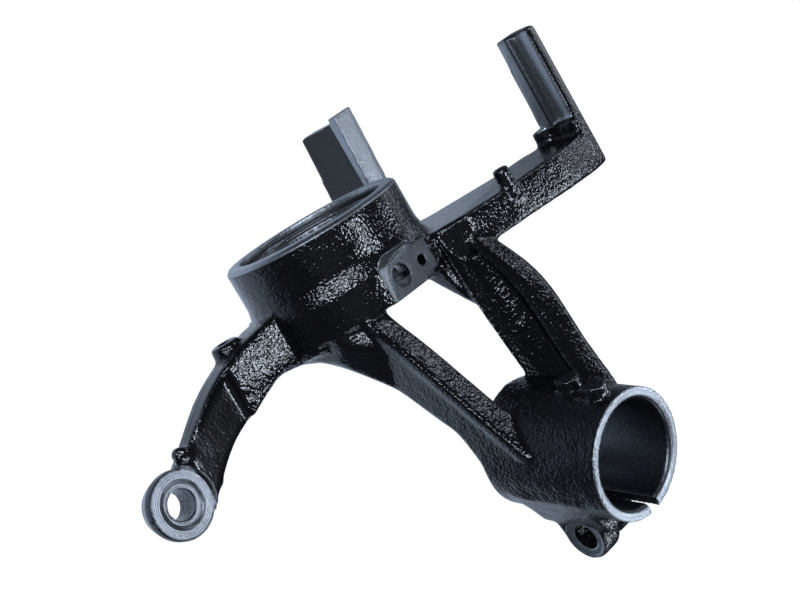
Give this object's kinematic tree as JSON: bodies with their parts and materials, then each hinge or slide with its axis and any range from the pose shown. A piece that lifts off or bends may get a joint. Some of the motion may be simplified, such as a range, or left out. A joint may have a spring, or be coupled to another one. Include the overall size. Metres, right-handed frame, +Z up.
{
  "type": "steering knuckle",
  "caption": "Cast-iron front steering knuckle with a bearing ring, a split strut clamp on a forked neck, a tie-rod arm and an open fork that carries the brake caliper.",
  "frame": {"origin": "centre of the bearing bore at its outboard face", "axes": "+Y outboard along the wheel axis, +Z up, +X towards the brake caliper"},
  "size_m": [0.2958, 0.2134, 0.2427],
  "materials": {
    "casting": "sand-cast iron under glossy black paint, with bare turned and milled faces"
  },
  "bodies": {
    "root": {"steering_knuckle": "casting"}
  },
  "joints": []
}
